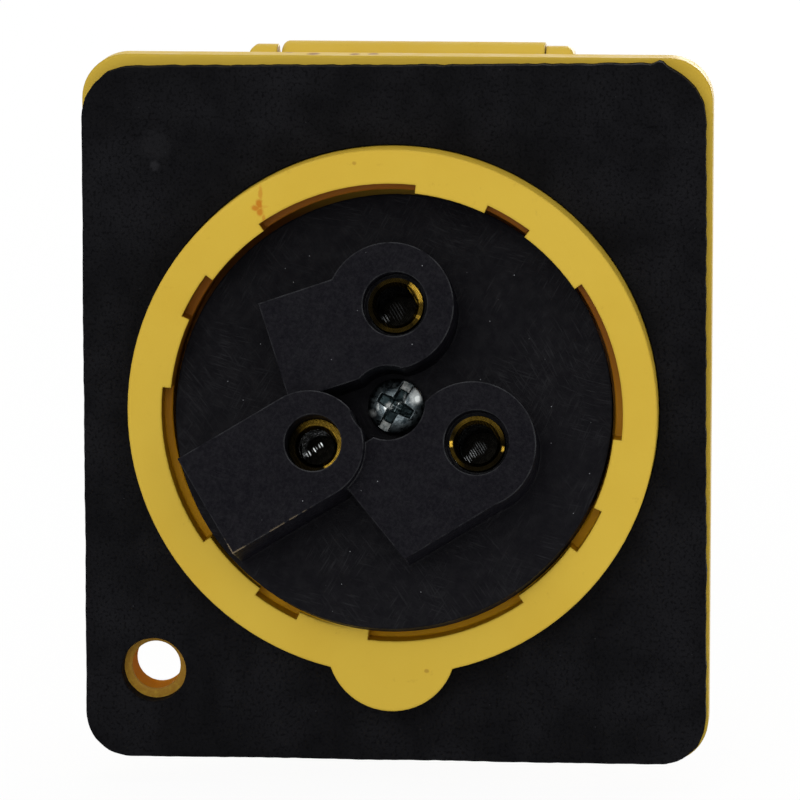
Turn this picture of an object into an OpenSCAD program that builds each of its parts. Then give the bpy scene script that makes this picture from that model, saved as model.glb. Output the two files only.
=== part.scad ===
// Flush mount angled socket: a panel socket whose contacts point down out of the panel.
// Sizes are in millimetres. The panel lies in the XZ plane, +Z is up, and +Y is the plug side.
// Sub-parts are drawn as seen from behind: x to the right, y up, z towards the wiring side.

/* [Flange] */
// Width of the flange
flange_w = 71.6; // [70:0.2:84]
// Height of the flange
flange_h = 80.8; // [78:0.2:90]
// Distance of the middle of the flange below the collar's axis
flange_drop = 0.5; // [0:0.1:1]
// Thickness of the flange
flange_t = 5; // [4:0.25:7]
// Corner radius of the flange
flange_corner_r = 5; // [3:0.5:8]
// Width of the bevel round the front of the flange
flange_bevel = 1; // [0.5:0.1:2]
// Distance between fixing holes across the flange
fixing_span_x = 55.4; // [55:0.1:57]
// Distance between fixing holes up the flange
fixing_span_y = 60; // [58:0.5:62]
// Diameter of a fixing hole
fixing_d = 5.6; // [4:0.1:6.5]

/* [Panel gasket] */
// Thickness of the gasket
gasket_t = 2.5; // [1.5:0.25:4]
// Distance that the gasket stays inside the edge of the flange
gasket_inset = 0.2; // [0.1:0.05:1]
// Diameter of the one fixing hole that is punched through the gasket
gasket_hole_d = 7.2; // [6.6:0.1:9]
// Diameter of the marks over the three fixing holes that the gasket covers
gasket_mark_d = 6.6; // [6.2:0.1:8]
// Depth of the marks over the three fixing holes that the gasket covers
gasket_mark_depth = 0.25; // [0.1:0.05:0.6]

/* [Rear collar] */
// Outer diameter of the collar that passes through the panel
collar_d = 60; // [59:0.2:62]
// Inner diameter of the collar
collar_bore_d = 50.4; // [50.2:0.1:51]
// Distance that the collar stands behind the panel face
collar_rise = 4; // [3:0.25:7]
// Depth of the pockets in the rim of the collar
pocket_depth = 3; // [2:0.25:3.5]
// Radial width of the pockets
pocket_w = 0.95; // [0.6:0.05:1.6]
// Angle that a long pocket covers
long_pocket_angle = 41; // [30:1:44]
// Angle that a short pocket covers
short_pocket_angle = 12; // [8:1:16]
// Turn of the pocket pattern
pocket_turn = 14.5; // [10:0.5:20]
// Radius of the keyway lobe
lobe_r = 7.3; // [6:0.1:8]
// Distance of the lobe's centre below the collar's axis
lobe_drop = 26.9; // [25:0.1:28]

/* [Plug shroud] */
// Downward angle of the contacts and shroud
tilt = 15; // [12:0.5:18]
// Outer diameter of the shroud
shroud_d = 55; // [53:0.5:58]
// Inner diameter of the shroud
shroud_bore_d = 47.2; // [46:0.2:49]
// Distance from the back of the carrier to the front of the shroud
shroud_reach = 38; // [36:0.5:44]
// Distance from the back of the carrier to the sloped face of the pedestal
pedestal_reach = 18.5; // [18:0.25:20]
// Thickness of the inner web that the insert is clamped on
web_t = 3; // [2:0.25:5]
// Diameter of the opening in the inner web
web_bore_d = 42; // [38:0.5:44]
// Radius of the keyway groove
keyway_r = 3.2; // [2.4:0.1:3.6]
// Wall round the keyway groove
keyway_wall = 2.4; // [2:0.1:3]
// Distance that the keyway rib stops short of the front of the shroud
keyway_rib_gap = 5; // [4:0.25:8]

/* [Contact carrier] */
// Diameter of the carrier disc
carrier_d = 49.6; // [48.6:0.1:49.8]
// Thickness of the carrier disc
carrier_t = 4; // [3:0.25:4.5]
// Distance that the middle of the carrier lies inside the rim of the collar
carrier_sink = 2.5; // [1.5:0.25:4]
// Radius of the circle that the plug's pins stand on
contact_circle_r = 10.5; // [10:0.1:11]
// Turn of the pin circle
contact_turn = 1.5; // [1:0.1:3]
// Distance of each terminal to the right of its pin
terminal_shift_x = 0.85; // [0.6:0.05:1]
// Distance of each terminal above its pin
terminal_shift_y = 0.65; // [0.5:0.05:0.8]
// Height of the line and neutral towers
tower_h = 8; // [7:0.25:10]
// Height of the earth tower
earth_tower_h = 10; // [8.5:0.25:12]
// Radius of the round head of the line and neutral towers
tower_head_r = 7.2; // [6.8:0.1:7.6]
// Distance of a round head's middle from its terminal, towards the end of the tower
head_back = 0.6; // [0:0.1:1]
// Half width of the earth tower
earth_tower_r = 6.2; // [5.6:0.1:6.6]
// Distance from the line or neutral terminal to the end of its tower
tower_len = 14.6; // [13.5:0.1:15]
// Distance from the earth terminal to the end of its tower
earth_tower_len = 14; // [13:0.1:14.4]
// Skew of the end of the neutral tower
neutral_end_skew = 8; // [0:1:10]
// Half width of the line tower's block on the outer side
line_side_out = 4.9; // [4.4:0.1:6]
// Half width of the line tower's block on the side of the screw
line_side_in = 6.8; // [6:0.1:7]
// Half width of the neutral tower's block on the outer side
neutral_side_out = 7.1; // [6:0.1:7.2]
// Half width of the neutral tower's block on the side of the screw
neutral_side_in = 6.5; // [6:0.1:7]
// Gap round a line or neutral barrel at the top of its tower
tower_hole_gap = 0.55; // [0.3:0.05:0.8]
// Diameter of the well round the centre screw
well_d = 8.4; // [7.8:0.1:9]

/* [Contacts] */
// Diameter of the line and neutral plug pins
pin_d = 5; // [4.5:0.1:5.5]
// Diameter of the earth plug pin
earth_pin_d = 7; // [6.5:0.1:7.5]
// Wall of a contact sleeve
sleeve_wall = 1; // [0.8:0.05:1.3]
// Outer diameter of a terminal barrel
barrel_d = 6.2; // [5.6:0.1:6.6]
// Diameter of the wire hole in a terminal barrel
wire_hole_d = 4.5; // [3.6:0.1:4.8]
// Diameter of the wire hole in the earth barrel
earth_wire_hole_d = 4; // [3.4:0.1:4.8]
// Depth of the line and neutral barrels below the top of their towers
barrel_sink = 1.2; // [0.6:0.1:2]
// Depth of the earth barrel below the top of its tower
earth_barrel_sink = 4.2; // [3:0.1:4.8]
// Thread diameter of a terminal screw
terminal_screw_d = 3; // [2.5:0.1:3.4]
// Distance from the carrier disc to the axis of a terminal screw
terminal_screw_rise = 3.2; // [2.6:0.1:3.6]
// Diameter of the insert column in front of the web
column_d = 34.8; // [34:0.2:36]
// Distance that the column stops short of the front of the shroud
column_gap = 5; // [3:0.25:8]
// Thickness of the flange round the foot of the column
foot_t = 3; // [2:0.25:5]

/* [Centre screw] */
// Thread diameter of the centre screw
centre_screw_d = 3; // [2.5:0.1:3.5]
// Head diameter of the centre screw
centre_head_d = 6.4; // [5.6:0.1:7]
// Head height of the centre screw
centre_head_h = 2.3; // [1.6:0.1:3]
// Length of the centre screw below its head
centre_screw_len = 16; // [12:0.5:20]

/* [Lid] */
// Thickness of the lid plate
lid_t = 2.5; // [2:0.1:4]
// Gap round the shroud inside the lid's skirt
lid_gap = 0.8; // [0.7:0.05:1.4]
// Thickness of the lid's skirt
lid_skirt_t = 2.2; // [1.6:0.1:3]
// Distance that the skirt reaches back over the shroud
lid_overlap = 1.5; // [0.8:0.1:1.8]
// Width of the bevel round the front of the lid
lid_bevel = 1.2; // [0.6:0.1:2]
// Diameter of the sunk panel in the front of the lid
lid_panel_d = 46; // [40:0.5:48]
// Depth of the sunk panel
lid_panel_depth = 0.5; // [0.3:0.05:0.5]
// Radius of the finger tab at the bottom of the lid
tab_r = 8; // [6:0.5:10]
// Distance that the tab stands out below the lid
tab_reach = 3.5; // [2:0.25:5]
// Inner width of the rubber seal
seal_w = 7; // [5:0.25:8.5]
// Thickness of the rubber seal in the lid
seal_t = 1.5; // [1:0.1:2.5]
// Distance of the hinge axis below the top edge of the flange
hinge_inset = 3.75; // [3.5:0.05:5]
// Gap between the hinge barrel and the pedestal
hinge_room = 0.45; // [0.3:0.05:1]
// Length of the hinge over both ears
hinge_len = 37.8; // [34:0.2:40]
// Width of one hinge ear
ear_w = 3.2; // [2.5:0.1:4]
// Corner radius at the outer end of an ear
ear_edge_r = 1; // [0.5:0.1:1.4]
// Radius of the hinge ears
ear_r = 3; // [2.5:0.1:3.2]
// Radius of the lid's hinge barrel
knuckle_r = 3.4; // [3.2:0.05:3.5]
// Edge radius at the open end of the barrel
knuckle_edge_r = 0.95; // [0.4:0.05:1.2]
// Gap between the left ear and the barrel
hinge_gap_left = 0.5; // [0.3:0.05:0.9]
// Gap between the right ear and the barrel
hinge_gap_right = 0.15; // [0.15:0.05:0.9]
// Diameter of the hinge pin
hinge_pin_d = 2; // [1.6:0.1:2.4]
// Thickness of the lid's arm
arm_t = 3; // [2.4:0.1:3.4]
// Distance that the hinge ears reach down over the edge of the pedestal
ear_root = 7; // [6:0.25:9]

/* [Lid spring] */
// Wire diameter of the lid spring
spring_wire_d = 0.7; // [0.5:0.05:0.8]
// Radius of the spring's coil at the middle of the wire
spring_coil_r = 1.9; // [1.8:0.05:2]
// Gap between the turns of the spring
spring_gap = 0.08; // [0.05:0.01:0.2]
// Full turns of the spring
spring_turns = 5; // [3:1:7]
// Length of the spring's leg under the arm
spring_leg = 11; // [9:0.5:13]
// Length of the spring's leg against the pedestal
spring_foot = 9; // [6:0.5:11]

/* [Hidden] */
$fn = 64;
yellow = [0.93, 0.71, 0.15];
black = [0.10, 0.10, 0.11];
brass = [0.80, 0.60, 0.22];
steel = [0.75, 0.76, 0.78];
rubber = [0.07, 0.07, 0.08];

eps = 0.01;
far = 60;
fit_gap = 0.1;
run_gap = 0.04;
loose_gap = 0.3;

flange_back = -gasket_t;
flange_front = flange_back - flange_t;
flange_top = flange_h / 2 - flange_drop;
carrier_z = collar_rise - carrier_sink;
web_front = -carrier_t - web_t;
foot_front = web_front - foot_t;
column_front = -shroud_reach + column_gap;
foot_r = shroud_bore_d / 2 - loose_gap;
spigot_r = web_bore_d / 2 - fit_gap;
pocket_r = collar_bore_d / 2 + pocket_w;
seal_back = -shroud_reach - fit_gap;
lid_inner = seal_back - seal_t;
lid_outer = lid_inner - lid_t;
skirt_in_r = shroud_d / 2 + lid_gap;
skirt_out_r = skirt_in_r + lid_skirt_t;
skirt_back = -shroud_reach + lid_overlap;

// Hinge axis: the spring's fixed leg hangs just in front of the pedestal's sloped face
hinge_up = flange_top - hinge_inset;
pedestal_top = hinge_up - knuckle_r - hinge_room;
pedestal_face_z = carrier_z - (pedestal_reach + pedestal_top * sin(tilt)) / cos(tilt);
hinge_z = pedestal_face_z + spring_coil_r - spring_wire_d / 2 - loose_gap;
hinge_iy = hinge_up * cos(tilt) - (hinge_z - carrier_z) * sin(tilt);
hinge_iz = hinge_up * sin(tilt) + (hinge_z - carrier_z) * cos(tilt);
knuckle_len = hinge_len - 2 * ear_w - hinge_gap_left - hinge_gap_right;
knuckle_mid = (hinge_gap_left - hinge_gap_right) / 2;
arm_w = knuckle_len - 2 * knuckle_edge_r;
spring_room_r = spring_coil_r + spring_wire_d / 2 + loose_gap;
spring_pitch = spring_wire_d + spring_gap;
ear_flat = 0.05;
arm_step = 0.3;
arm_top = knuckle_r - arm_step;
arm_under = arm_top - arm_t;
arm_toe = [skirt_out_r + lid_bevel / 2, lid_outer + lid_bevel / 2];
arm_run = norm([hinge_iy, hinge_iz] - arm_toe);
arm_drop = atan2(hinge_iy - arm_toe[0], hinge_iz - arm_toe[1]) + asin(arm_top / arm_run);
under_start = arm_point(0, arm_under);
under_end = [skirt_in_r + lid_skirt_t / 2, skirt_back - loose_gap];
under_drop = atan2(under_start[0] - under_end[0], under_start[1] - under_end[1]);
under_out = arm_under * cos(arm_drop - under_drop);
leg_lift = asin((under_out - loose_gap - spring_wire_d / 2 + spring_coil_r) / spring_leg);
leg_drop = under_drop + tilt - leg_lift;
spring_window = knuckle_r + fit_gap;
coil_sweep = 360 * spring_turns + 270 - leg_drop;
coil_len = spring_pitch * coil_sweep / 360;
spring_room_len = coil_len + spring_wire_d + 2 * loose_gap;
spring_window_len = spring_room_len + 2 * fit_gap;

// Contacts: angle on the circle, direction of the tower, and the sizes that differ for earth
LINE = 0;
NEUTRAL = 1;
EARTH = 2;
contact_angle = [90, -30, 210];
tower_angle = [199, 212, 211.5];
tower_lens = [tower_len, tower_len, earth_tower_len];
tower_skew = [0, neutral_end_skew, 0];
tower_heights = [tower_h, tower_h, earth_tower_h];
tower_head = [tower_head_r, tower_head_r, earth_tower_r];
tower_side_low = [line_side_in, neutral_side_out, earth_tower_r];
tower_side_high = [line_side_out, neutral_side_in, earth_tower_r];
pin_ds = [pin_d, pin_d, earth_pin_d];
wire_hole_ds = [wire_hole_d, wire_hole_d, earth_wire_hole_d];
barrel_tops = [tower_h - barrel_sink, tower_h - barrel_sink, earth_tower_h - earth_barrel_sink];
tower_hole_gaps = [tower_hole_gap, tower_hole_gap, fit_gap];
tower_hole_depth = 1;
mouth_bevel = 0.4;
contact_floor = 1;
stop_t = web_t - fit_gap;
stop_lip = 1.4;
face_wall = 2;
sleeve_front = column_front + face_wall;
sleeve_slot_w = 0.9;
sleeve_slot_turn = 20;
sleeve_slot_len = 13;
spring_ring_w = 3;
spring_ring_t = 0.5;
spring_ring_place = 5;
screw_head_d = terminal_screw_d + 1;
screw_head_len = 1.8;
screw_recess = 1.2;
centre_head_crown = 1;
centre_recess_turn = 45;
centre_screw_place = [terminal_shift_x / 2, terminal_shift_y / 2];
recess_w = 1;
recess_len = 3.6;
recess_depth = 1.4;
recess_slot_depth = 0.6;
screw_slot_w = 0.7;
screw_slot_depth = 0.9;

function sleeve_r(i) = pin_ds[i] / 2 + run_gap + sleeve_wall;
function stop_r(i) = sleeve_r(i) + stop_lip;
function bore_r(i) = sleeve_r(i) + spring_ring_t + loose_gap;
function point_on(r, a) = [r * cos(a), r * sin(a)];

// Frames

// Drawing seen from behind, stood up against the panel
module panel_frame() {
    rotate([90, 0, 0]) children();
}

// The same, tipped so that z runs back along the plug's axis
module plug_frame() {
    panel_frame() translate([0, 0, carrier_z]) rotate([-tilt, 0, 0]) children();
}

// The plug frame inside the panel frame
module tipped() {
    translate([0, 0, carrier_z]) rotate([-tilt, 0, 0]) children();
}

// A disc or tube between two heights
module drum(r, z0, z1) {
    translate([0, 0, z0]) cylinder(r = r, h = z1 - z0);
}

// A drum along x, centred on x = 0
module axle(r, len) {
    rotate([0, 90, 0]) cylinder(r = r, h = len, center = true);
}

module rounded_plate(w, h, r) {
    square([w - 2 * r, h], center = true);
    square([w, h - 2 * r], center = true);
    for (sx = [-1, 1], sy = [-1, 1]) {
        translate([sx * (w / 2 - r), sy * (h / 2 - r)]) circle(r = r);
    }
}

module sector(r, angle) {
    steps = 6;
    polygon(concat([[0, 0]], [for (k = [0 : steps]) point_on(r, angle * (k / steps - 0.5))]));
}

module at_fixings() {
    for (sx = [-1, 1], sy = [-1, 1]) {
        translate([sx * fixing_span_x / 2, sy * fixing_span_y / 2 - flange_drop]) children();
    }
}

module at_pin(i) {
    translate(point_on(contact_circle_r, contact_angle[i] + contact_turn)) children();
}

// A terminal lies a little beside the pin that its contact is made for
module at_terminal(i) {
    at_pin(i) translate([terminal_shift_x, terminal_shift_y]) children();
}

// Housing

module flange_plate() {
    translate([0, -flange_drop, flange_front + flange_bevel]) {
        linear_extrude(flange_t - flange_bevel) rounded_plate(flange_w, flange_h, flange_corner_r);
    }
    translate([0, -flange_drop]) hull() {
        translate([0, 0, flange_front + flange_bevel]) {
            linear_extrude(eps) rounded_plate(flange_w, flange_h, flange_corner_r, $fn = 32);
        }
        translate([0, 0, flange_front]) {
            linear_extrude(eps) {
                rounded_plate(flange_w - 2 * flange_bevel, flange_h - 2 * flange_bevel,
                    flange_corner_r - flange_bevel / 2, $fn = 32);
            }
        }
    }
}

// Pockets round the rim that the insert is turned through, long and short in turn
module rim_pockets() {
    translate([0, 0, collar_rise - pocket_depth]) {
        linear_extrude(pocket_depth + eps) {
            intersection() {
                circle(r = pocket_r);
                for (k = [0 : 3]) {
                    rotate(pocket_turn + 90 * k) sector(collar_d, long_pocket_angle);
                    rotate(pocket_turn + 45 + 90 * k) sector(collar_d, short_pocket_angle);
                }
            }
        }
    }
}

// The hinge's two ears stand on the top of the pedestal
module hinge_ears() {
    drop = hinge_up - pedestal_top + ear_root;
    for (side = [-1, 1]) {
        intersection() {
            translate([side * (hinge_len - ear_w) / 2, hinge_up, hinge_z]) {
                axle(ear_r, 2 * ear_w);
                translate([-ear_w, -drop, -ear_r]) cube([2 * ear_w, drop, 2 * ear_r]);
            }
            translate([0, hinge_up - far, hinge_z - far]) linear_extrude(2 * far) ear_outline(side);
        }
    }
}

// An ear as seen from behind, with its outer top corner rounded
module ear_outline(side) {
    tall = far + ear_r - ear_flat;
    inner = hinge_len / 2 - ear_w;
    mirror([side < 0 ? 1 : 0, 0]) {
        translate([inner, 0]) square([ear_w - ear_edge_r, tall]);
        translate([inner, 0]) square([ear_w, tall - ear_edge_r]);
        translate([inner + ear_w - ear_edge_r, tall - ear_edge_r]) circle(r = ear_edge_r);
    }
}

module keyway_rib() {
    translate([0, -shroud_bore_d / 2, 0]) {
        drum(keyway_r + keyway_wall, -shroud_reach + keyway_rib_gap, -carrier_t - web_t);
    }
}

module housing_body() {
    flange_plate();
    drum(collar_d / 2, flange_back - eps, collar_rise);
    translate([0, -lobe_drop]) drum(lobe_r, flange_back - eps, collar_rise);
    intersection() {
        drum(pedestal_top, -far, flange_front + eps);
        tipped() drum(far, -pedestal_reach, far);
        translate([0, -flange_drop, -2 * far]) linear_extrude(2 * far) {
            rounded_plate(flange_w - 2 * flange_bevel, flange_h - 2 * flange_bevel, flange_corner_r);
        }
    }
    intersection() {
        tipped() {
            drum(shroud_d / 2, -shroud_reach, 0);
            keyway_rib();
        }
        translate([-far, -far, -2 * far]) cube([2 * far, 2 * far, 2 * far + flange_back]);
    }
    hinge_ears();
}

module housing() {
    color(yellow) panel_frame() difference() {
        housing_body();
        intersection() {
            drum(collar_bore_d / 2, -far, collar_rise + eps);
            tipped() drum(far, -carrier_t, far);
        }
        rim_pockets();
        tipped() {
            drum(web_bore_d / 2, -far, 0);
            drum(shroud_bore_d / 2, -far, web_front);
            translate([0, -shroud_bore_d / 2, 0]) drum(keyway_r, -far, foot_front);
        }
        at_fixings() drum(fixing_d / 2, flange_front - eps, flange_back + eps);
        translate([0, hinge_up, hinge_z]) axle(hinge_pin_d / 2 + run_gap, hinge_len + 2 * eps);
    }
}

// Panel gasket, with only one of its four fixing holes punched

module panel_gasket() {
    punched = [-fixing_span_x / 2, -fixing_span_y / 2 - flange_drop];
    color(rubber) panel_frame() difference() {
        translate([0, -flange_drop, flange_back]) {
            linear_extrude(gasket_t) {
                rounded_plate(flange_w - 2 * gasket_inset, flange_h - 2 * gasket_inset, flange_corner_r);
            }
        }
        drum(collar_d / 2 + fit_gap, flange_back - eps, eps);
        translate([0, -lobe_drop]) drum(lobe_r + fit_gap, flange_back - eps, eps);
        translate(punched) drum(gasket_hole_d / 2, flange_back - eps, eps);
        at_fixings() drum(gasket_mark_d / 2, -gasket_mark_depth, eps);
    }
}

// Contact carrier: the rear half of the insert, with a tower over each terminal

module tower_outline(i) {
    high = tower_side_high[i];
    low = tower_side_low[i];
    skew = tan(tower_skew[i]);
    at_terminal(i) rotate(tower_angle[i]) {
        translate([head_back, 0]) circle(r = tower_head[i]);
        polygon([
            [head_back, -high], [tower_lens[i] + high * skew, -high],
            [tower_lens[i] - low * skew, low], [head_back, low]
        ]);
    }
}

// Channel that a terminal screw is driven through, from the end of its tower to the barrel
module screw_channel(i) {
    at_terminal(i) rotate(tower_angle[i]) translate([0, 0, terminal_screw_rise]) {
        rotate([0, 90, 0]) cylinder(r = screw_head_d / 2 + loose_gap, h = far);
    }
}

module contact_carrier() {
    color(black) plug_frame() difference() {
        union() {
            drum(carrier_d / 2, -carrier_t, 0);
            for (i = [LINE, NEUTRAL, EARTH]) {
                intersection() {
                    translate([0, 0, -eps]) linear_extrude(tower_heights[i] + eps) tower_outline(i);
                    drum(carrier_d / 2, -eps, far);
                }
            }
        }
        for (i = [LINE, NEUTRAL, EARTH]) {
            at_terminal(i) {
                drum(barrel_d / 2 + fit_gap, -carrier_t - eps, far);
                drum(barrel_d / 2 + tower_hole_gaps[i], barrel_tops[i] - tower_hole_depth, far);
            }
            screw_channel(i);
        }
        drum(well_d / 2, 0, far);
        translate(centre_screw_place) drum(centre_screw_d / 2 + fit_gap, -carrier_t - eps, eps);
    }
}

// Contact face: the front half of the insert, drawn back on the web by the centre screw

module contact_face() {
    color(black) plug_frame() difference() {
        union() {
            drum(spigot_r, web_front, -carrier_t);
            drum(foot_r, foot_front, web_front);
            drum(column_d / 2, column_front, foot_front + eps);
        }
        for (i = [LINE, NEUTRAL, EARTH]) {
            at_pin(i) {
                drum(stop_r(i) + fit_gap, web_front, -carrier_t + eps);
                drum(bore_r(i), sleeve_front - loose_gap, web_front + eps);
                drum(pin_ds[i] / 2 + loose_gap, column_front - eps, sleeve_front);
            }
        }
        translate(centre_screw_place) {
            drum(centre_screw_d / 2 + fit_gap, -centre_screw_len - loose_gap, -carrier_t + eps);
        }
    }
}

// Contacts: brass, a wire barrel behind a stop and a slotted sleeve in front of it

module contact(i) {
    mouth_r = wire_hole_ds[i] / 2;
    color(brass) plug_frame() difference() {
        union() {
            at_terminal(i) drum(barrel_d / 2, -carrier_t - eps, barrel_tops[i]);
            at_pin(i) {
                drum(stop_r(i), -carrier_t - stop_t, -carrier_t);
                drum(sleeve_r(i), sleeve_front, -carrier_t - eps);
            }
        }
        at_terminal(i) {
            drum(mouth_r, -carrier_t + contact_floor, far);
            translate([0, 0, barrel_tops[i] - mouth_bevel]) {
                cylinder(r1 = mouth_r, r2 = mouth_r + mouth_bevel, h = mouth_bevel + eps);
            }
            rotate(tower_angle[i]) translate([0, 0, terminal_screw_rise]) {
                rotate([0, 90, 0]) cylinder(r = terminal_screw_d / 2 + run_gap, h = far);
            }
        }
        at_pin(i) rotate(sleeve_slot_turn) {
            drum(pin_ds[i] / 2 + run_gap, -far, -carrier_t - stop_t - contact_floor);
            translate([-far, -sleeve_slot_w / 2, sleeve_front - eps]) {
                cube([2 * far, sleeve_slot_w, sleeve_slot_len]);
            }
        }
    }
}

module line_contact() { contact(LINE); }
module neutral_contact() { contact(NEUTRAL); }
module earth_contact() { contact(EARTH); }

// Steel ring that presses the slotted end of a sleeve on the pin
module contact_spring(i) {
    color(steel) plug_frame() at_pin(i) {
        translate([0, 0, sleeve_front + spring_ring_place]) difference() {
            drum(sleeve_r(i) + spring_ring_t, 0, spring_ring_w);
            drum(sleeve_r(i) + eps, -eps, spring_ring_w + eps);
            rotate(sleeve_slot_turn + 90) translate([0, -sleeve_slot_w / 2, -eps]) {
                cube([far, sleeve_slot_w, far]);
            }
        }
    }
}

module line_contact_spring() { contact_spring(LINE); }
module neutral_contact_spring() { contact_spring(NEUTRAL); }
module earth_contact_spring() { contact_spring(EARTH); }

// Screws

// Slotted terminal screw along its tower, backed off so that the wire hole is free
module terminal_screw(i) {
    tip = wire_hole_ds[i] / 2 + fit_gap;
    head_end = tower_lens[i] - screw_recess;
    color(steel) plug_frame() at_terminal(i) rotate(tower_angle[i]) {
        translate([0, 0, terminal_screw_rise]) rotate([0, 90, 0]) difference() {
            union() {
                drum(terminal_screw_d / 2, tip, head_end);
                drum(screw_head_d / 2, head_end - screw_head_len, head_end);
            }
            translate([-far, -screw_slot_w / 2, head_end - screw_slot_depth]) {
                cube([2 * far, screw_slot_w, far]);
            }
        }
    }
}

module line_terminal_screw() { terminal_screw(LINE); }
module neutral_terminal_screw() { terminal_screw(NEUTRAL); }
module earth_terminal_screw() { terminal_screw(EARTH); }

// Pan head screw with a cross recess and a slot
module centre_screw() {
    head_r = centre_head_d / 2;
    color(steel) plug_frame() translate(centre_screw_place) difference() {
        union() {
            drum(centre_screw_d / 2, -centre_screw_len, eps);
            rotate_extrude() {
                side_h = centre_head_h - centre_head_crown;
                polygon(concat([[0, 0], [head_r, 0]],
                    [for (a = [0 : 15 : 90]) [head_r * cos(a), side_h + centre_head_crown * sin(a)]]));
            }
        }
        rotate(centre_recess_turn) {
            for (turn = [0, 90]) {
                rotate(turn) translate([-recess_len / 2, -recess_w / 2, centre_head_h - recess_depth]) {
                    cube([recess_len, recess_w, recess_depth + eps]);
                }
            }
            translate([-head_r - eps, -recess_w / 2, centre_head_h - recess_slot_depth]) {
                cube([centre_head_d + 2 * eps, recess_w, recess_slot_depth + eps]);
            }
        }
    }
}

// Lid

// A place on the arm: this far down it from the hinge, and this far out from the line to the axis
function arm_point(along, out) = [
    hinge_iy - along * sin(arm_drop) + out * cos(arm_drop),
    hinge_iz - along * cos(arm_drop) - out * sin(arm_drop)
];

// Arm from the hinge barrel down to the lid, a little below the barrel and the front of the lid
module lid_arm() {
    root = sqrt(pow(skirt_in_r, 2) - pow(arm_w / 2 + knuckle_mid, 2)) - lid_skirt_t;
    plate_mid = lid_outer + lid_bevel;
    translate([knuckle_mid - arm_w / 2, 0, 0]) rotate([90, 0, 90]) linear_extrude(arm_w) {
        polygon([
            under_start, arm_point(0, arm_top), arm_toe, [root, arm_toe[1]],
            [root, plate_mid], [under_end[0], plate_mid], under_end
        ]);
    }
}

module lid_cap() {
    rotate_extrude() {
        panel_z = lid_outer + lid_panel_depth;
        polygon([
            [0, panel_z], [lid_panel_d / 2, panel_z], [lid_panel_d / 2, lid_outer],
            [skirt_out_r - lid_bevel, lid_outer], [skirt_out_r, lid_outer + lid_bevel],
            [skirt_out_r, skirt_back], [skirt_in_r, skirt_back], [skirt_in_r, lid_inner], [0, lid_inner]
        ]);
    }
    translate([0, tab_r - skirt_out_r - tab_reach]) drum(tab_r, lid_outer + lid_bevel, lid_inner - eps);
}

// Hinge barrel along x, with a round edge at its open end
module hinge_barrel() {
    half = knuckle_len / 2;
    e = knuckle_edge_r;
    rotate([0, 90, 0]) rotate_extrude() {
        polygon(concat(
            [[0, -half]],
            [for (a = [0 : 15 : 90]) [knuckle_r - e + e * sin(a), -half + e - e * cos(a)]],
            [[knuckle_r, half], [0, half]]
        ));
    }
}

module lid() {
    color(yellow) plug_frame() difference() {
        union() {
            lid_cap();
            lid_arm();
            translate([knuckle_mid, hinge_iy, hinge_iz]) hinge_barrel();
        }
        translate([0, hinge_iy, hinge_iz]) {
            axle(hinge_pin_d / 2 + run_gap, far);
            axle(spring_room_r, spring_room_len);
            rotate([tilt, 0, 0]) translate([-spring_window_len / 2, -spring_window, -spring_window]) {
                cube([spring_window_len, spring_window - fit_gap, 2 * spring_window]);
            }
        }
    }
}

module lid_seal() {
    color(rubber) plug_frame() difference() {
        drum(skirt_in_r - fit_gap, lid_inner, seal_back);
        drum(skirt_in_r - seal_w, lid_inner - eps, seal_back + eps);
    }
}

module hinge_pin() {
    color(steel) panel_frame() translate([0, hinge_up, hinge_z]) axle(hinge_pin_d / 2, hinge_len);
}

// Torsion spring on the hinge pin: one leg under the lid's arm, one against the pedestal

function leg_point(t) = [
    -coil_len / 2,
    spring_coil_r * -cos(leg_drop) - t * sin(leg_drop),
    spring_coil_r * sin(leg_drop) - t * cos(leg_drop)
];
function coil_point(s) = let (a = 270 - leg_drop - s) [
    -coil_len / 2 + spring_pitch * s / 360,
    spring_coil_r * sin(a),
    -spring_coil_r * cos(a)
];
function foot_point(t) = [coil_len / 2, -t, -spring_coil_r];

module lid_spring() {
    route = concat(
        [for (t = [spring_leg : -2 : 1]) leg_point(t)],
        [for (s = [0 : 20 : coil_sweep]) coil_point(s)],
        [for (t = [1 : 2 : spring_foot]) foot_point(t)]
    );
    color(steel) panel_frame() translate([0, hinge_up, hinge_z]) wire(route, spring_wire_d / 2, 8);
}

// Round wire swept along a route
function unit(v) = v / norm(v);
function heading(route, k) = unit(route[min(k + 1, len(route) - 1)] - route[max(k - 1, 0)]);
function wire_ring(p, d, r, sides) = let (
    u = unit(cross(d, [1, 0, 0])),
    v = cross(d, u)
) [for (j = [0 : sides - 1]) p + r * (cos(360 * j / sides) * u + sin(360 * j / sides) * v)];

module wire(route, r, sides) {
    n = len(route);
    points = [for (k = [0 : n - 1]) each wire_ring(route[k], heading(route, k), r, sides)];
    walls = [for (k = [0 : n - 2], j = [0 : sides - 1]) let (here = k * sides, turn = (j + 1) % sides)
        [here + j, here + turn, here + sides + turn, here + sides + j]];
    ends = [[for (j = [sides - 1 : -1 : 0]) j], [for (j = [0 : sides - 1]) (n - 1) * sides + j]];
    polyhedron(points, concat(walls, ends));
}

housing();
panel_gasket();
contact_carrier();
contact_face();
centre_screw();
line_contact();
neutral_contact();
earth_contact();
line_contact_spring();
neutral_contact_spring();
earth_contact_spring();
line_terminal_screw();
neutral_terminal_screw();
earth_terminal_screw();
lid();
lid_seal();
hinge_pin();
lid_spring();
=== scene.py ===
# Dressed model of a flush mount angled socket, seen from its wiring side.

import logging
from dataclasses import dataclass
from enum import Enum
from math import atan2, cos, hypot, pi, radians, sin, sqrt
from typing import Any, Dict, List, Optional, Sequence, Tuple, Union

import bmesh
import bpy
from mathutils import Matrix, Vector, noise

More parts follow.
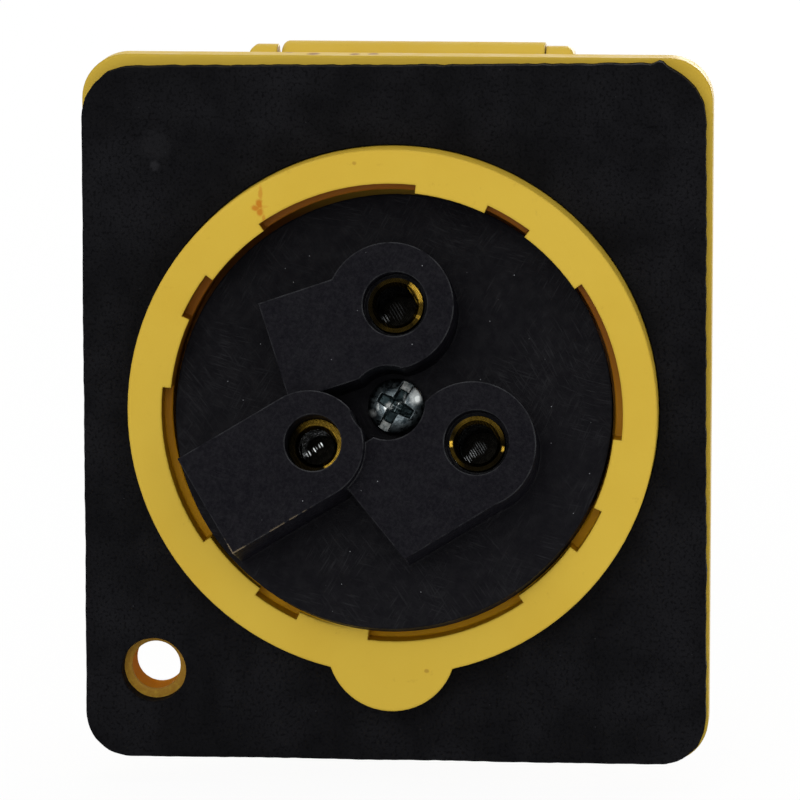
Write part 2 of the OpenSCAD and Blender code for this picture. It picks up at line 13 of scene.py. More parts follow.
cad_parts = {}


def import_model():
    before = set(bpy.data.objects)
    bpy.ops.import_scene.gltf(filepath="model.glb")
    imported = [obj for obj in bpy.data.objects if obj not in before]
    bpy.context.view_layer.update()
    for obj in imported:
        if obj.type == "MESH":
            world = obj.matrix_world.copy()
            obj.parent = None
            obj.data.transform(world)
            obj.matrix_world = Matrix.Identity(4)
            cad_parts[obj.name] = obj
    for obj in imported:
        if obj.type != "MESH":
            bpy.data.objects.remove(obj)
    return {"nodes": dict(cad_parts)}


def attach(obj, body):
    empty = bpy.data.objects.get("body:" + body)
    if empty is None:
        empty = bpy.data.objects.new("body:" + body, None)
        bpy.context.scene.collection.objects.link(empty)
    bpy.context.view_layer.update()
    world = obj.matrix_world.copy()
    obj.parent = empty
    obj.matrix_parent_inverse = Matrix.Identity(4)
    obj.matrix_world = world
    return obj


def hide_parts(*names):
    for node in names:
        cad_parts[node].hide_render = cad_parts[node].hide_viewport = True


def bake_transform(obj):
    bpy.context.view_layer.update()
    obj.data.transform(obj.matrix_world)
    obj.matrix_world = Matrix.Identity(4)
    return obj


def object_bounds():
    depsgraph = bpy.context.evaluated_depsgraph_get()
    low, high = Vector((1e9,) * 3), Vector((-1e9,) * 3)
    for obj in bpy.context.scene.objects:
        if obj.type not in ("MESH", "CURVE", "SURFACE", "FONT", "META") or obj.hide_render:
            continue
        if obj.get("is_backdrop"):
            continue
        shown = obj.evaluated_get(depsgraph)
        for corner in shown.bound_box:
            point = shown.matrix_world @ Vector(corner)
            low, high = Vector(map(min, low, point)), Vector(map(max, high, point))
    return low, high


LOG = logging.getLogger("angled_socket")

MM = 0.001
FULL_TURN = 2 * pi
QUARTER_TURN = pi / 2
TILT_SIN = sin(radians(15))
TILT_COS = cos(radians(15))
CARRIER_BACK = 1.5
WHITE = (1.0, 1.0, 1.0)

Flat = Tuple[float, float]
Triple = Tuple[float, float, float]
Colour = Triple
Socket = bpy.types.NodeSocket
Value = Union[float, Socket]
Material = bpy.types.Material
Piece = bpy.types.Object
Mesh = bmesh.types.BMesh
Ring = Sequence[bmesh.types.BMVert]


class Slot(Enum):
    """Names for material slots of the pieces made here; nothing in this script uses them."""

    FOAM = "foam_gasket"
    ZINC = "zinc_steel"
    SPRING = "spring_steel"


class Ray(Enum):
    """Light path outputs that see the plain white studio."""

    CAMERA = "Is Camera Ray"
    GLOSSY = "Is Glossy Ray"
    TRANSMISSION = "Is Transmission Ray"


def metres(point: Sequence[float]) -> Vector:
    """Turn a point in millimetres into metres."""
    return Vector(point) * MM


def between(start: float, end: float, steps: int) -> List[float]:
    """Evenly spaced numbers, both ends included."""
    return [start + (end - start) * k / steps for k in range(steps + 1)]


def turns(count: int) -> List[float]:
    """Angles of points that are spread evenly round a circle."""
    return between(0.0, FULL_TURN, count)[:-1]


def from_plug(x: float, y: float, z: float) -> Vector:
    """Turn a place on the tipped insert into the frame of the part, in millimetres.

    Args:
        x: Distance to the right.
        y: Distance up the tipped disc.
        z: Distance towards the wiring side.

    Returns:
        The same place.
    """
    up = y * TILT_COS + z * TILT_SIN
    back = CARRIER_BACK - y * TILT_SIN + z * TILT_COS
    return Vector((x, -back, up))


def plug_way(x: float, y: float, z: float) -> Vector:
    """Turn a direction on the tipped insert into the frame of the part."""
    return (from_plug(x, y, z) - from_plug(0.0, 0.0, 0.0)).normalized()


@dataclass(frozen=True)
class Stain:
    """A soft mark on a surface: its middle and half sizes in millimetres, and how strong it is."""

    middle: Triple
    reach: Triple
    strength: float


@dataclass(frozen=True)
class Well:
    """A round hole through the panel: its axis, radius, and the depths where its painted shade starts and
    ends.
    """

    middle: Flat
    radius: float
    start: Flat
    end: Flat


class NodeGraph:
    """Adds nodes to a tree."""

    def __init__(self, tree: bpy.types.NodeTree) -> None:
        """Work on the node tree of a material or of the world."""
        self.tree = tree

    def feed(self, node: bpy.types.Node, inputs: Dict[Any, Any]) -> None:
        """Link or set the inputs of a node.

        Args:
            node: The node.
            inputs: For each input, another node's output, a constant, or None to leave it.
        """
        for key, value in inputs.items():
            socket = node.inputs[key]
            if isinstance(value, Socket):
                self.tree.links.new(value, socket)
            elif value is not None:
                socket.default_value = (*value, 1.0) if socket.type == "RGBA" else value

    def add(self, kind: str, inputs: Dict[Any, Any], **settings: Any) -> bpy.types.Node:
        """Add a node.

        Args:
            kind: Which shader node.
            inputs: What its inputs get.
            settings: Its own settings.

        Returns:
            The new node.
        """
        node = self.tree.nodes.new("ShaderNode" + kind)
        for name, value in settings.items():
            setattr(node, name, value)
        self.feed(node, inputs)
        return node

    def calc(self, operation: str, a: Value, *others: Value) -> Socket:
        """Combine numbers one after another.

        Args:
            operation: Name of the math operation.
            a: First number, or the only one.
            others: The numbers that follow.

        Returns:
            The result.
        """
        for other in others or (0.0,):
            a = self.add("Math", {0: a, 1: other}, operation=operation).outputs[0]
        return a

    def times(self, a: Value, *others: Value) -> Socket:
        """Product of numbers."""
        return self.calc("MULTIPLY", a, *others)

    def ramp(self, value: Value, low: float, high: float, start: float = 0.0, end: float = 1.0) -> Socket:
        """Soft step of a value: start up to the low limit, and end from the high one."""
        inputs = {"Value": value, "From Min": low, "From Max": high, "To Min": start, "To Max": end}
        return self.add("MapRange", inputs, interpolation_type="SMOOTHSTEP").outputs[0]

    def seen_directly(self) -> Socket:
        """Mask of the rays that see the white studio, which is 0 for light that falls on the part."""
        path = self.add("LightPath", {})
        return self.calc("MAXIMUM", *(path.outputs[ray.value] for ray in Ray))


class ShaderGraph(NodeGraph):
    """Node graph of one finish, measured in metres of the part's own frame."""

    bevel_samples = 6
    edge_lean = (0.99, 0.82)
    spot_fade = (1.3, 0.7)
    spot_ragged = 0.7
    number_results = ("DOT_PRODUCT", "LENGTH")

    def __init__(self, name: str) -> None:
        """Start a material with one principled shader.

        Args:
            name: Name of the material.
        """
        self.material = bpy.data.materials.new(name)
        self.material.use_nodes = True
        super().__init__(self.material.node_tree)
        self.tree.nodes.clear()
        self.shader = self.add("BsdfPrincipled", {})
        self.output = self.add("OutputMaterial", {"Surface": self.shader.outputs["BSDF"]})
        self.place = self.add("TexCoord", {}).outputs["Object"]

    def finish(self, colour: Value, rough: Value, normal: Optional[Socket], specular: float = 0.5,
               metal: float = 0.0) -> Material:
        """Feed the principled shader.

        Args:
            colour: Base colour.
            rough: Roughness.
            normal: Normal with its relief, or None.
            specular: Level of mirrored light.
            metal: 1 for bare metal.

        Returns:
            The finished material.
        """
        self.feed(self.shader, {"Base Color": colour, "Roughness": rough, "Normal": normal,
                                "Specular IOR Level": specular, "Metallic": metal})
        return self.material

    def vector(self, operation: str, a: Any, b: Any = (0.0, 0.0, 0.0)) -> Socket:
        """Combine two vectors into a vector, or into a number where the operation gives one."""
        node = self.add("VectorMath", {0: a, 1: b}, operation=operation)
        return node.outputs["Value" if operation in self.number_results else "Vector"]

    def grain(self, size: float, detail: float = 2.0, place: Optional[Socket] = None,
              rough: float = 0.5) -> Socket:
        """Noise from 0 to 1, with grains of a size in millimetres and octaves of finer detail."""
        inputs = {"Scale": 1 / (size * MM), "Detail": detail, "Roughness": rough}
        return self.add("TexNoise", {"Vector": place or self.place, **inputs}).outputs["Fac"]

    def specks(self, spacing: float, size: float, share: float, strength: float) -> Socket:
        """Scattered dust.

        Args:
            spacing: Size of a cell that may hold one speck, in millimetres.
            size: Diameter of a speck in millimetres.
            share: Share of cells that hold one.
            strength: Strength of a speck.

        Returns:
            Mask of the specks.
        """
        cells = self.add("TexVoronoi", {"Vector": self.place, "Scale": 1 / (spacing * MM)}).outputs
        near = self.ramp(cells["Distance"], size / spacing / 2, size / spacing / 5)
        drawn = self.add("SeparateColor", {0: cells["Color"]}).outputs[0]
        return self.times(near, self.ramp(drawn, 1 - share, 1 - share + 0.02), strength)

    def blend(self, mask: Value, a: Any, b: Any) -> Socket:
        """Mix two colours: a mask of 0 gives a, and 1 gives b."""
        return self.add("Mix", {0: mask, 6: a, 7: b}, data_type="RGBA").outputs[2]

    def join(self, x: Value, y: Value, z: Value = 0.0) -> Socket:
        """Make a vector of three numbers."""
        return self.add("CombineXYZ", {0: x, 1: y, 2: z}).outputs[0]

    def along(self, direction: Triple, shift: float = 0.0) -> Socket:
        """Distance along a unit vector of the part's frame, plus a shift, in metres."""
        return self.calc("ADD", self.vector("DOT_PRODUCT", self.place, direction), shift)

    def on_plug(self) -> Tuple[Socket, Socket, Socket]:
        """Place on the tipped insert: across it, up it, and along its axis towards the wiring side."""
        up = self.along((0.0, TILT_SIN, TILT_COS), CARRIER_BACK * MM * TILT_SIN)
        out = self.along((0.0, -TILT_COS, TILT_SIN), -CARRIER_BACK * MM * TILT_COS)
        return self.along((1.0, 0.0, 0.0)), up, out

    def turned(self, x: Socket, y: Socket, degrees: float) -> Socket:
        """Distance along a direction in the plane of x and y."""
        a = radians(degrees)
        return self.calc("ADD", self.times(x, cos(a)), self.times(y, sin(a)))

    def radius(self, x: Socket, y: Socket) -> Socket:
        """Distance from the middle in the plane of x and y."""
        return self.calc("SQRT", self.calc("ADD", self.times(x, x), self.times(y, y)))

    def well(self, well: Well) -> Socket:
        """Inside of a round hole through the panel.

        Args:
            well: The hole.

        Returns:
            Mask that is 1 on the wall of the hole.
        """
        x = self.along((1.0, 0.0, 0.0), -well.middle[0] * MM)
        z = self.along((0.0, 0.0, 1.0), -well.middle[1] * MM)
        depth = self.along((0.0, 1.0, 0.0))
        return self.times(
            self.ramp(self.radius(x, z), (well.radius + 0.12) * MM, (well.radius + 0.02) * MM),
            self.ramp(depth, well.start[0] * MM, well.start[1] * MM),
            self.ramp(depth, well.end[1] * MM, well.end[0] * MM))

    def spots(self, stains: Sequence[Stain]) -> Socket:
        """Soft spots with ragged edges.

        Args:
            stains: Where they are and how strong.

        Returns:
            Mask that is a stain's strength at its middle.
        """
        masks = []
        for stain in stains:
            off = self.vector("SUBTRACT", self.place, tuple(metres(stain.middle)))
            length = self.vector("LENGTH", self.vector("DIVIDE", off, tuple(metres(stain.reach))))
            ragged = self.calc("ADD", length, self.times(self.grain(0.5, 3.0), self.spot_ragged))
            masks.append(self.ramp(ragged, *self.spot_fade, 0.0, stain.strength))
        return self.calc("MAXIMUM", 0.0, *masks)

    def edge(self, radius: float) -> Tuple[Socket, Socket]:
        """Rounded edges.

        Args:
            radius: Edge radius in millimetres.

        Returns:
            The rounded normal, and a mask that is 1 on an edge.
        """
        normal = self.add("Bevel", {"Radius": radius * MM}, samples=self.bevel_samples).outputs["Normal"]
        true = self.add("NewGeometry", {}).outputs["True Normal"]
        return normal, self.ramp(self.vector("DOT_PRODUCT", normal, true), *self.edge_lean)

    def bump(self, height: Value, depth: float, normal: Optional[Socket] = None,
             strength: float = 1.0) -> Socket:
        """Turn a height from 0 to 1 into relief of a depth in millimetres on a normal."""
        inputs = {"Height": height, "Distance": depth * MM, "Strength": strength, "Normal": normal}
        return self.add("Bump", inputs).outputs["Normal"]


@dataclass(frozen=True)
class HousingPlastic:
    """Worn satin yellow moulding, with the brown marks of its rim and flange, painted shade inside the
    collar and in the fixing hole, and painted light low in the collar's pockets.
    """

    name: str = "yellow_housing"
    base: Colour = (0.60, 0.408, 0.044)
    warm: Colour = (0.575, 0.380, 0.037)
    pale: Colour = (0.66, 0.49, 0.09)
    # This dark brown colours grime, specks and marks, and also painted shade round the fixing hole; the
    # amber below colours a smudge and also painted shade there.
    dirt_and_shade: Colour = (0.20, 0.075, 0.008)
    amber_and_shade: Colour = (0.46, 0.13, 0.006)
    # Painted shade inside the collar and its pockets, painted lighter towards the bottom.
    hollow_shade: Colour = (0.19, 0.060, 0.0004)
    lit_hollow: Colour = (0.60, 0.30, 0.003)
    # Painted shade on the wall of the fixing hole.
    hole_wall_shade: Colour = (0.62, 0.25, 0.002)
    shade_from: float = 12.0
    lit_from: float = -24.0
    # Wells that get painted shade: inside the collar, and the wall of the fixing hole.
    collar: Optional[Well] = None
    fixing: Optional[Well] = None
    stains: Tuple[Stain, ...] = ()
    amber_marks_and_hole_shade: Tuple[Stain, ...] = ()

    def build(self) -> Material:
        """Make the material."""
        graph = ShaderGraph(self.name)
        normal, edge = graph.edge(0.45)
        colour = graph.blend(graph.ramp(graph.grain(14, 3.0), 0.35, 0.7), self.base, self.warm)
        rubbed_and_lit = graph.times(edge, graph.ramp(graph.grain(2.5, 4.0), 0.35, 0.65), 0.25)
        colour = graph.blend(rubbed_and_lit, colour, self.pale)
        # Painted shade inside the collar, darker at the top and painted lighter towards the bottom.
        if self.collar:
            lower = graph.ramp(graph.along((0.0, 0.0, 1.0)), self.shade_from * MM, self.lit_from * MM)
            hollow_shading = graph.blend(lower, self.hollow_shade, self.lit_hollow)
            colour = graph.blend(graph.well(self.collar), colour, hollow_shading)
        grime = graph.ramp(graph.grain(1.6, 6.0, rough=0.65), 0.62, 0.78, 0.0, 0.22)
        # The stains and amber marks include painted shade round the fixing hole.
        colour = graph.blend(graph.calc("MAXIMUM", grime, graph.spots(self.stains)), colour, self.dirt_and_shade)
        amber_marks_and_hole_shade = graph.spots(self.amber_marks_and_hole_shade)
        colour = graph.blend(amber_marks_and_hole_shade, colour, self.amber_and_shade)
        sheen = graph.calc("MAXIMUM", graph.ramp(graph.grain(3, 5.0), 0.3, 0.7, 0.36, 0.52), amber_marks_and_hole_shade)
        # Painted shade on the wall of the fixing hole.
        if self.fixing:
            wall = graph.well(self.fixing)
            colour = graph.blend(wall, colour, self.hole_wall_shade)
            sheen = graph.calc("MAXIMUM", sheen, wall)
        colour = graph.blend(graph.specks(1.1, 0.12, 0.10, 0.5), colour, self.dirt_and_shade)
        skin = graph.calc("ADD", graph.grain(0.25, 3.0), graph.times(graph.grain(4, 2.0), 2.0))
        return graph.finish(colour, sheen, graph.bump(skin, 0.02, normal, 0.5), specular=0.1)


@dataclass(frozen=True)
class CarrierPlastic:
    """Black thermoset with scratches, dust, and pale edges that are partly worn and partly a painted
    highlight, stronger on edges that face up and to the right.
    """

    name: str = "black_carrier"
    disc: Colour = (0.0040, 0.0038, 0.0051)
    tower: Colour = (0.0028, 0.0026, 0.0043)
    speckle: Colour = (0.0098, 0.0094, 0.0120)
    scratch: Colour = (0.022, 0.022, 0.0245)
    # Pale edge colour: wear and a painted highlight.
    worn: Colour = (0.085, 0.088, 0.092)
    chipped: Colour = (0.34, 0.26, 0.16)
    dust: Colour = (0.42, 0.43, 0.45)
    edge_light_side: Triple = (0.72, -0.25, 0.65)
    strokes: Tuple[Flat, ...] = ((-28.0, 5.0), (75.0, 7.0), (38.0, 9.0))
    chips: Tuple[Stain, ...] = ()

    def build(self) -> Material:
        """Make the material."""
        graph = ShaderGraph(self.name)
        normal, edge = graph.edge(0.36)
        x, y, z = graph.on_plug()
        raised = graph.ramp(z, 0.2 * MM, 0.6 * MM)
        colour = graph.blend(raised, self.disc, self.tower)
        mottle = graph.ramp(graph.grain(0.38, 5.0, rough=0.7), 0.36, 0.70)
        mottle = graph.times(mottle, graph.ramp(raised, 0.0, 1.0, 0.25, 0.75))
        colour = graph.blend(mottle, colour, self.speckle)
        cloud = graph.ramp(graph.grain(5, 4.0), 0.3, 0.75)
        colour = graph.blend(graph.times(cloud, 0.05), colour, self.scratch)
        swirl = self.swirl(graph, x, y)
        flat = graph.ramp(raised, 0.0, 1.0, 0.5, 0.15)
        colour = graph.blend(graph.times(swirl, flat), colour, self.scratch)
        # Pale edges: wear, plus a painted highlight that is stronger on edges facing up and to the right.
        facing_edge_light = graph.vector("DOT_PRODUCT", normal, self.edge_light_side)
        rubbed_and_lit = graph.times(
            edge,
            graph.ramp(graph.grain(1.6, 5.0), 0.25, 0.68),
            graph.ramp(facing_edge_light, 0.0, 0.8, 0.45, 1.0),
            graph.ramp(z, 0.6 * MM, 2.0 * MM, 0.15, 1.0),
            0.8)
        colour = graph.blend(rubbed_and_lit, colour, self.worn)
        broken = graph.ramp(graph.grain(0.7, 5.0), 0.42, 0.56)
        colour = graph.blend(graph.times(graph.spots(self.chips), broken, edge), colour, self.chipped)
        colour = graph.blend(graph.specks(0.9, 0.15, 0.14, 0.55), colour, self.dust)
        relief = graph.calc("ADD", graph.grain(0.18, 4.0), graph.times(swirl, -0.25))
        rough = graph.ramp(graph.grain(1.2, 5.0), 0.3, 0.7, 0.42, 0.6)
        return graph.finish(colour, rough, graph.bump(relief, 0.03, normal, 0.8), specular=0.03)

    def swirl(self, graph: ShaderGraph, x: Socket, y: Socket) -> Socket:
        """Fine broken scratches in a few directions, each in patches of its own size.

        Args:
            graph: Graph of the finish.
            x: Place across the disc.
            y: Place up the disc.

        Returns:
            Mask that is 1 on a scratch.
        """
        masks = []
        for run, patch in self.strokes:
            bent = graph.calc("ADD", graph.turned(x, y, run), graph.times(graph.grain(14, 1.0), 3 * MM))
            lines = graph.join(bent, graph.times(graph.turned(x, y, run + 90), 0.07), run * MM)
            masks.append(graph.times(graph.ramp(graph.grain(0.17, 3.0, lines), 0.53, 0.70),
                                     graph.ramp(graph.grain(patch, 3.0), 0.40, 0.64)))
        return graph.calc("MAXIMUM", *masks)


@dataclass(frozen=True)
class GasketFoam:
    """Black foam sheet with open cells, lint and faint smears."""

    name: str = "gasket_foam"
    base: Colour = (0.0042, 0.0042, 0.0050)
    smear: Colour = (0.0078, 0.0078, 0.0092)
    pit: Colour = (0.0018, 0.0018, 0.0022)
    lint: Colour = (0.09, 0.09, 0.10)
    smudges: Tuple[Stain, ...] = (
        Stain((-27.3, 0.0, 27.5), (0.7, 0.5, 0.9), 0.10),
        Stain((-27.2, 0.0, 29.8), (2.6, 0.5, 2.4), 0.04),
    )

    def build(self) -> Material:
        """Make the material."""
        graph = ShaderGraph(self.name)
        colour = graph.blend(graph.ramp(graph.grain(9, 4.0), 0.35, 0.7), self.base, self.smear)
        cells = graph.grain(0.35, 4.0, rough=0.6)
        colour = graph.blend(graph.times(graph.ramp(cells, 0.52, 0.36), 0.8), colour, self.pit)
        colour = graph.blend(graph.spots(self.smudges), colour, self.lint)
        colour = graph.blend(graph.specks(1.0, 0.14, 0.10, 0.4), colour, self.lint)
        relief = graph.calc("ADD", cells, graph.times(graph.grain(3, 3.0), 1.5))
        rough = graph.ramp(graph.grain(2, 4.0), 0.3, 0.7, 0.62, 0.85)
        return graph.finish(colour, rough, graph.bump(relief, 0.08, None, 0.7), specular=0.03)


@dataclass(frozen=True)
class Sweep:
    """A painted highlight along a stretch of a lip: its middle and half width in degrees, its strength and
    its inner radius.
    """

    middle: float
    half: float
    strength: float
    inner: float = 0.0


@dataclass(frozen=True)
class TurnedBrass:
    """Turned brass with painted highlights on parts of its lip, a dark base that is tarnish and painted
    shade, painted shade down its bore, and painted glints on tool marks of its floor.
    """

    name: str
    bore: Flat
    bore_r: float
    mouth: float
    lip_highlights: Tuple[Sweep, ...]
    glints: Tuple[Stain, ...]
    mark_gap: float
    mark_run: float = 32.0
    highlight_colour: Colour = (0.62, 0.38, 0.045)
    # The dark base is tarnish together with painted shade.
    tarnish: Colour = (0.0022, 0.0016, 0.0006)
    # Painted shade down the bore.
    bore_shade: Colour = (0.0022, 0.0020, 0.0016)
    # Colour of the painted glints.
    painted_glint: Colour = (0.86, 0.90, 0.92)

    def build(self) -> Material:
        """Make the material."""
        graph = ShaderGraph(self.name)
        across, up, z = graph.on_plug()
        x = graph.calc("SUBTRACT", across, self.bore[0] * MM)
        y = graph.calc("SUBTRACT", up, self.bore[1] * MM)
        radius = graph.radius(x, y)
        inside = graph.ramp(radius, (self.bore_r + 0.12) * MM, (self.bore_r + 0.04) * MM)
        # Painted highlights on parts of the lip.
        lip = graph.times(
            self.sweeps(graph, graph.calc("ARCTAN2", y, x), radius),
            graph.ramp(z, (self.mouth - 0.75) * MM, (self.mouth - 0.25) * MM),
            graph.ramp(graph.grain(0.35, 4.0), 0.2, 0.6, 0.5, 1.0))
        colour = graph.blend(lip, self.tarnish, self.highlight_colour)
        # Painted shade down the bore.
        bore_shade_mask = graph.times(inside, graph.ramp(z, (self.mouth - 0.35) * MM, (self.mouth - 0.9) * MM))
        colour = graph.blend(bore_shade_mask, colour, self.bore_shade)
        cuts = graph.calc("DIVIDE", graph.turned(x, y, self.mark_run), self.mark_gap * MM)
        cuts = graph.calc("FRACT", graph.calc("ADD", cuts, graph.times(graph.grain(0.8, 2.0), 0.5)))
        marks = graph.ramp(graph.calc("PINGPONG", cuts, 0.5), 0.16, 0.34)
        # Painted glints in stripes on the floor of the bore.
        shine = graph.times(graph.spots(self.glints), marks, bore_shade_mask)
        colour = graph.blend(shine, colour, self.painted_glint)
        relief = graph.calc("ADD", graph.grain(0.12, 2.0, graph.join(radius, z)), marks)
        rough = graph.ramp(graph.grain(0.6, 4.0), 0.3, 0.7, 0.22, 0.4)
        return graph.finish(colour, rough, graph.bump(relief, 0.03, None, 0.8), metal=1.0)

    def sweeps(self, graph: ShaderGraph, angle: Socket, radius: Socket) -> Socket:
        """Strongest of the painted highlights along the lip.

        Args:
            graph: Graph of the finish.
            angle: Angle round the bore, in radians.
            radius: Distance from the middle of the bore.

        Returns:
            Mask between 0 and 1.
        """
        ragged = graph.calc("ADD", angle, graph.times(graph.grain(0.6, 4.0), 0.16))
        masks = []
        for sweep in self.lip_highlights:
            off = graph.calc("COSINE", graph.calc("SUBTRACT", ragged, radians(sweep.middle)))
            edge = cos(radians(sweep.half))
            here = graph.ramp(off, edge, edge + (1 - edge) * 0.8, 0.0, sweep.strength)
            outer = graph.ramp(radius, (sweep.inner - 0.08) * MM, (sweep.inner + 0.04) * MM)
            masks.append(graph.times(here, outer))
        return graph.calc("MAXIMUM", *masks)


@dataclass(frozen=True)
class ZincPlate:
    """Dark bluish zinc on a screw, with spots of tarnish and painted highlights."""

    name: str
    base: Colour = (0.090, 0.108, 0.115)
    spot: Colour = (0.026, 0.036, 0.042)
    edge: Colour = (0.22, 0.25, 0.255)
    painted_highlight: Colour = (0.72, 0.75, 0.74)
    rubbed_and_lit: Tuple[Stain, ...] = ()

    def build(self) -> Material:
        """Make the material."""
        graph = ShaderGraph(self.name)
        normal, edge = graph.edge(0.12)
        tarnish = graph.ramp(graph.grain(0.7, 5.0, rough=0.6), 0.42, 0.68)
        colour = graph.blend(tarnish, self.base, self.spot)
        bare = graph.times(edge, graph.ramp(graph.grain(0.5, 3.0), 0.4, 0.6))
        colour = graph.blend(bare, colour, self.edge)
        # Painted highlights.
        colour = graph.blend(graph.spots(self.rubbed_and_lit), colour, self.painted_highlight)
        rough = graph.ramp(graph.grain(0.5, 5.0), 0.3, 0.7, 0.22, 0.46)
        return graph.finish(colour, rough, graph.bump(graph.grain(0.3, 4.0), 0.04, normal, 0.5), metal=1.0)


@dataclass(frozen=True)
class SpringSteel:
    """Drawn steel with fine die lines and a straw tint."""

    name: str = "drawn_steel"
    base: Colour = (0.46, 0.46, 0.475)
    tint: Colour = (0.33, 0.30, 0.25)

    def build(self) -> Material:
        """Make the material."""
        graph = ShaderGraph(self.name)
        colour = graph.blend(graph.ramp(graph.grain(1.5, 4.0), 0.4, 0.7), self.base, self.tint)
        rough = graph.ramp(graph.grain(0.4, 4.0), 0.3, 0.7, 0.24, 0.42)
        return graph.finish(colour, rough, graph.bump(graph.grain(0.12, 3.0), 0.015), metal=1.0)


@dataclass(frozen=True)
class SealRubber:
    """Moulded rubber ring with a bloom of fine dust."""

    name: str = "seal_rubber"
    base: Colour = (0.011, 0.011, 0.012)
    bloom: Colour = (0.035, 0.034, 0.033)

    def build(self) -> Material:
        """Make the material."""
        graph = ShaderGraph(self.name)
        normal, edge = graph.edge(0.2)
        dusty = graph.ramp(graph.grain(2.5, 5.0), 0.45, 0.75, 0.0, 0.6)
        dusty = graph.calc("MAXIMUM", dusty, graph.times(edge, 0.5))
        colour = graph.blend(dusty, self.base, self.bloom)
        rough = graph.ramp(graph.grain(0.8, 4.0), 0.3, 0.7, 0.5, 0.72)
        relief = graph.bump(graph.grain(0.3, 4.0), 0.03, normal, 0.6)
        return graph.finish(colour, rough, relief, specular=0.25)


@dataclass(frozen=True)
class StudioWhite:
    """Pale floor: white to the camera and to mirrors, with a trace of the part's own shadow."""

    name: str = "studio_floor"
    shade: float = 0.05
    grey: Colour = (0.88, 0.88, 0.88)
    pale: Colour = (0.9, 0.9, 0.9)

    def build(self) -> Material:
        """Make the material."""
        graph = ShaderGraph(self.name)
        tone = graph.blend(graph.grain(400, 2.0), self.grey, self.pale)
        graph.finish(tone, 0.9, None, specular=0.1)
        glow = graph.add("Emission", {"Color": WHITE, "Strength": 1.0})
        seen = graph.times(graph.seen_directly(), 1 - self.shade)
        mix = graph.add("MixShader", {0: seen, 1: graph.shader.outputs["BSDF"], 2: glow.outputs[0]})
        graph.feed(graph.output, {"Surface": mix.outputs[0]})
        return graph.material


def new_piece(name: str, mesh: Mesh, material: Material) -> Piece:
    """Turn a mesh in progress into an object of the scene.

    Args:
        name: Name of the piece.
        mesh: The mesh, which is used up.
        material: Its finish.

    Returns:
        The new object.
    """
    bmesh.ops.recalc_face_normals(mesh, faces=mesh.faces)
    data = bpy.data.meshes.new(name)
    mesh.to_mesh(data)
    mesh.free()
    data.materials.append(material)
    piece = bpy.data.objects.new(name, data)
    bpy.context.scene.collection.objects.link(piece)
    return piece


def join_rings(mesh: Mesh, a: Ring, b: Ring, smooth: bool = False) -> None:
    """Join two closed rings of as many points with faces."""
    for k in range(len(a)):
        mesh.faces.new((a[k - 1], a[k], b[k], b[k - 1])).smooth = smooth


